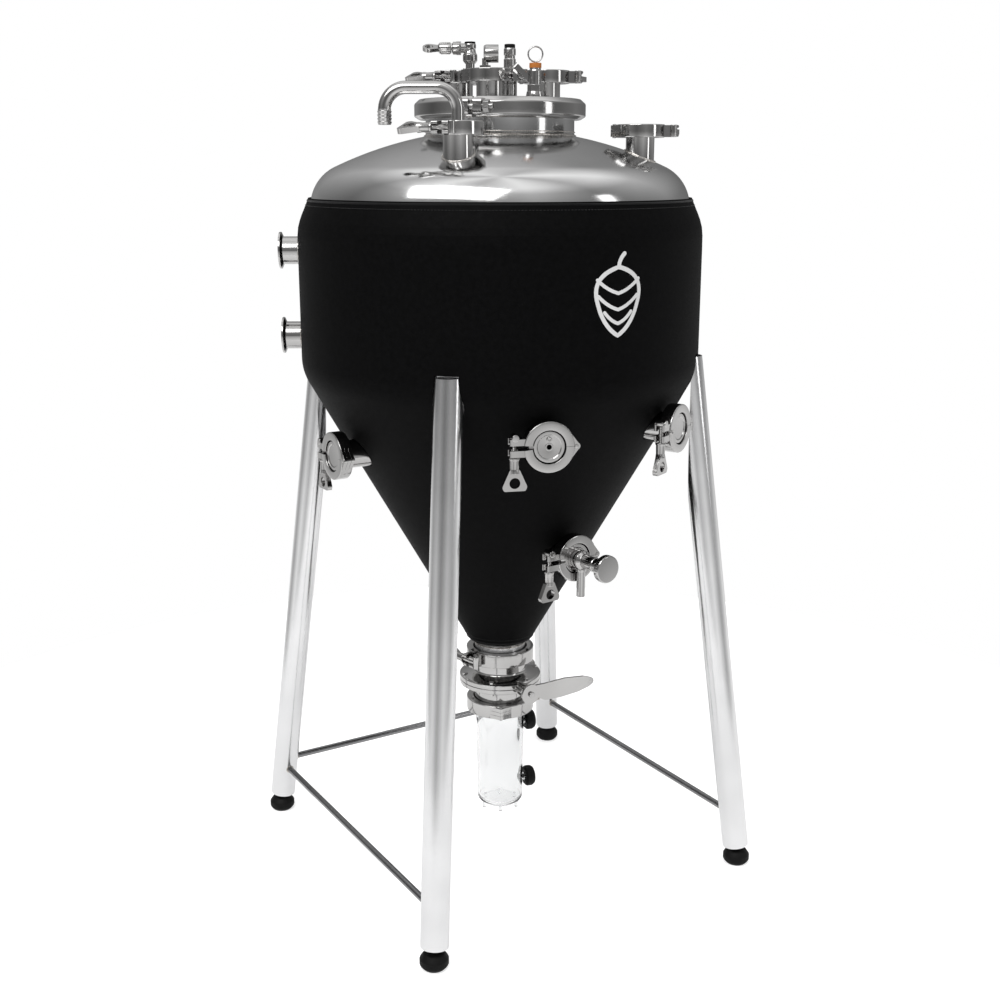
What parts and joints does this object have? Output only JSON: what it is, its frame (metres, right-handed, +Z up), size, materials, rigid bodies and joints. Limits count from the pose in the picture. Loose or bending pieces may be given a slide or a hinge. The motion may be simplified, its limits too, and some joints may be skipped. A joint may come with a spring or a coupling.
{
  "type": "conical fermenter",
  "caption": "Jacketed stainless conical fermenter on splayed legs, with clamped lid, sanitary ports, sample and dump valves, and a clear collection jar.",
  "frame": {"origin": "on the floor under the vessel's axis", "axes": "+Z up along the vessel's axis, -Y to the front where the sample valve and thermowell are, +X to the right seen from the front"},
  "size_m": [0.5596, 0.5608, 1.1806],
  "materials": {
    "polished_steel": "polished stainless steel",
    "brushed_steel": "satin stainless steel",
    "neoprene": "matte knit-faced neoprene",
    "silicone": "satin white silicone",
    "clear_plastic": "clear moulded plastic",
    "red_paint": "painted pointer",
    "black_rubber": "matte black rubber and plastic"
  },
  "bodies": {
    "vessel": {"tank_dome": "polished_steel", "tank_wall": "brushed_steel", "tank_cone": "brushed_steel", "cooling_jacket": "brushed_steel", "neoprene_jacket": "neoprene", "leg_front_left": "brushed_steel", "leg_front_right": "brushed_steel", "leg_back_right": "brushed_steel", "leg_back_left": "brushed_steel", "stretcher_left": "brushed_steel", "stretcher_back": "brushed_steel", "stretcher_right": "brushed_steel", "lid": "polished_steel", "lid_gasket": "silicone", "lid_clamp": "polished_steel", "gauge_cap": "polished_steel", "pressure_gauge": "polished_steel", "gauge_clamp": "polished_steel", "gas_cap": "polished_steel", "gas_clamp": "polished_steel", "lid_blank_cap": "polished_steel", "lid_blank_clamp": "polished_steel", "gas_post": "polished_steel", "relief_valve_body": "polished_steel", "blow_off_cane": "polished_steel", "cane_clamp": "polished_steel", "dome_blank_cap": "polished_steel", "dome_blank_clamp": "polished_steel", "thermowell": "polished_steel", "thermowell_clamp": "polished_steel", "cone_blank_cap": "polished_steel", "cone_blank_clamp": "polished_steel", "sample_valve_body": "polished_steel", "sample_clamp": "polished_steel", "side_blank_cap": "polished_steel", "side_blank_clamp": "polished_steel", "dump_valve_body": "polished_steel", "dump_inlet_clamp": "polished_steel", "dump_outlet_clamp": "polished_steel", "collection_jar": "clear_plastic"},
    "foot_front_left": {"foot_front_left": "black_rubber"},
    "foot_front_right": {"foot_front_right": "black_rubber"},
    "foot_back_right": {"foot_back_right": "black_rubber"},
    "foot_back_left": {"foot_back_left": "black_rubber"},
    "lid_clamp_bolt": {"lid_clamp_bolt": "polished_steel"},
    "gauge_needle": {"gauge_needle": "red_paint"},
    "gauge_clamp_nut": {"gauge_clamp_nut": "polished_steel"},
    "gas_cock_handle": {"gas_cock_handle": "polished_steel"},
    "gas_clamp_nut": {"gas_clamp_nut": "polished_steel"},
    "relief_valve_ring": {"relief_valve_ring": "polished_steel"},
    "cane_clamp_nut": {"cane_clamp_nut": "polished_steel"},
    "thermowell_clamp_nut": {"thermowell_clamp_nut": "polished_steel"},
    "cone_blank_clamp_nut": {"cone_blank_clamp_nut": "polished_steel"},
    "sample_valve_knob": {"sample_valve_knob": "polished_steel"},
    "sample_clamp_nut": {"sample_clamp_nut": "polished_steel"},
    "side_blank_clamp_nut": {"side_blank_clamp_nut": "polished_steel"},
    "dump_inlet_clamp_nut": {"dump_inlet_clamp_nut": "polished_steel"},
    "dump_valve_lever": {"dump_valve_lever": "polished_steel"},
    "jar_knob_upper": {"jar_knob_upper": "black_rubber"},
    "jar_knob_lower": {"jar_knob_lower": "black_rubber"}
  },
  "joints": [
    {"name": "foot_front_left_level", "type": "slide", "parent": "vessel", "child": "foot_front_left", "axis": [0, 0, -1], "range_m": [0, 0.012]},
    {"name": "foot_front_right_level", "type": "slide", "parent": "vessel", "child": "foot_front_right", "axis": [0, 0, -1], "range_m": [0, 0.012]},
    {"name": "foot_back_right_level", "type": "slide", "parent": "vessel", "child": "foot_back_right", "axis": [0, 0, -1], "range_m": [0, 0.012]},
    {"name": "foot_back_left_level", "type": "slide", "parent": "vessel", "child": "foot_back_left", "axis": [0, 0, -1], "range_m": [0, 0.012]},
    {"name": "dump_lever", "type": "hinge", "parent": "vessel", "child": "dump_valve_lever", "pos_m": [0, -0.088, 0.264], "axis": [0, 1, 0], "range_deg": [0, 90]},
    {"name": "sample_knob", "type": "hinge", "parent": "vessel", "child": "sample_valve_knob", "pos_m": [0.01755, -0.23334, 0.494], "axis": [0.075, -0.9972, 0], "range_deg": [0, 270]},
    {"name": "gas_cock", "type": "hinge", "parent": "vessel", "child": "gas_cock_handle", "pos_m": [-0.04821, 0.088, 1.172], "axis": [-0.8536, 0.521, 0], "range_deg": [0, 90]},
    {"name": "relief_pull", "type": "slide", "parent": "vessel", "child": "relief_valve_ring", "axis": [0, 0, 1], "range_m": [0, 0.004], "stiffness_N_per_m": 800},
    {"name": "gauge_pointer", "type": "hinge", "parent": "vessel", "child": "gauge_needle", "pos_m": [-0.00594, -0.0034, 1.1605], "axis": [0.8536, -0.521, 0], "range_deg": [-270, 0], "stiffness_Nm_per_rad": 0.0005},
    {"name": "gauge_nut_turn", "type": "hinge", "parent": "vessel", "child": "gauge_clamp_nut", "pos_m": [0.02248, -0.02075, 1.1325], "axis": [-0.521, -0.8536, 0], "continuous": true},
    {"name": "gas_nut_turn", "type": "hinge", "parent": "vessel", "child": "gas_clamp_nut", "pos_m": [-0.05842, 0.04858, 1.1325], "axis": [-0.5534, 0.8329, 0], "continuous": true},
    {"name": "cane_nut_turn", "type": "hinge", "parent": "vessel", "child": "cane_clamp_nut", "pos_m": [-0.17677, -0.15567, 1.059], "axis": [-0.5534, 0.8329, 0], "continuous": true},
    {"name": "thermowell_nut_turn", "type": "hinge", "parent": "vessel", "child": "thermowell_clamp_nut", "pos_m": [-0.13008, -0.24719, 0.6764], "axis": [0, 0, -1], "continuous": true},
    {"name": "cone_blank_nut_turn", "type": "hinge", "parent": "vessel", "child": "cone_blank_clamp_nut", "pos_m": [0.08374, -0.26648, 0.6756], "axis": [0, 0, -1], "continuous": true},
    {"name": "sample_nut_turn", "type": "hinge", "parent": "vessel", "child": "sample_clamp_nut", "pos_m": [-0.02983, -0.17673, 0.494], "axis": [0, 0, -1], "continuous": true},
    {"name": "side_blank_nut_turn", "type": "hinge", "parent": "vessel", "child": "side_blank_clamp_nut", "pos_m": [-0.2575, 0.043, 0.635], "axis": [0, 0, -1], "continuous": true},
    {"name": "dump_inlet_nut_turn", "type": "hinge", "parent": "vessel", "child": "dump_inlet_clamp_nut", "pos_m": [-0.05869, -0.01247, 0.304], "axis": [-0.2079, 0.9781, 0], "continuous": true},
    {"name": "lid_bolt_turn", "type": "hinge", "parent": "vessel", "child": "lid_clamp_bolt", "pos_m": [-0.09273, -0.08233, 1.088], "axis": [0.6639, -0.7478, 0], "continuous": true},
    {"name": "jar_knob_upper_turn", "type": "hinge", "parent": "vessel", "child": "jar_knob_upper", "pos_m": [0.04695, -0.00998, 0.186], "axis": [0.9781, -0.2079, 0], "continuous": true},
    {"name": "jar_knob_lower_turn", "type": "hinge", "parent": "vessel", "child": "jar_knob_lower", "pos_m": [0.04695, -0.00998, 0.091], "axis": [0.9781, -0.2079, 0], "continuous": true}
  ]
}
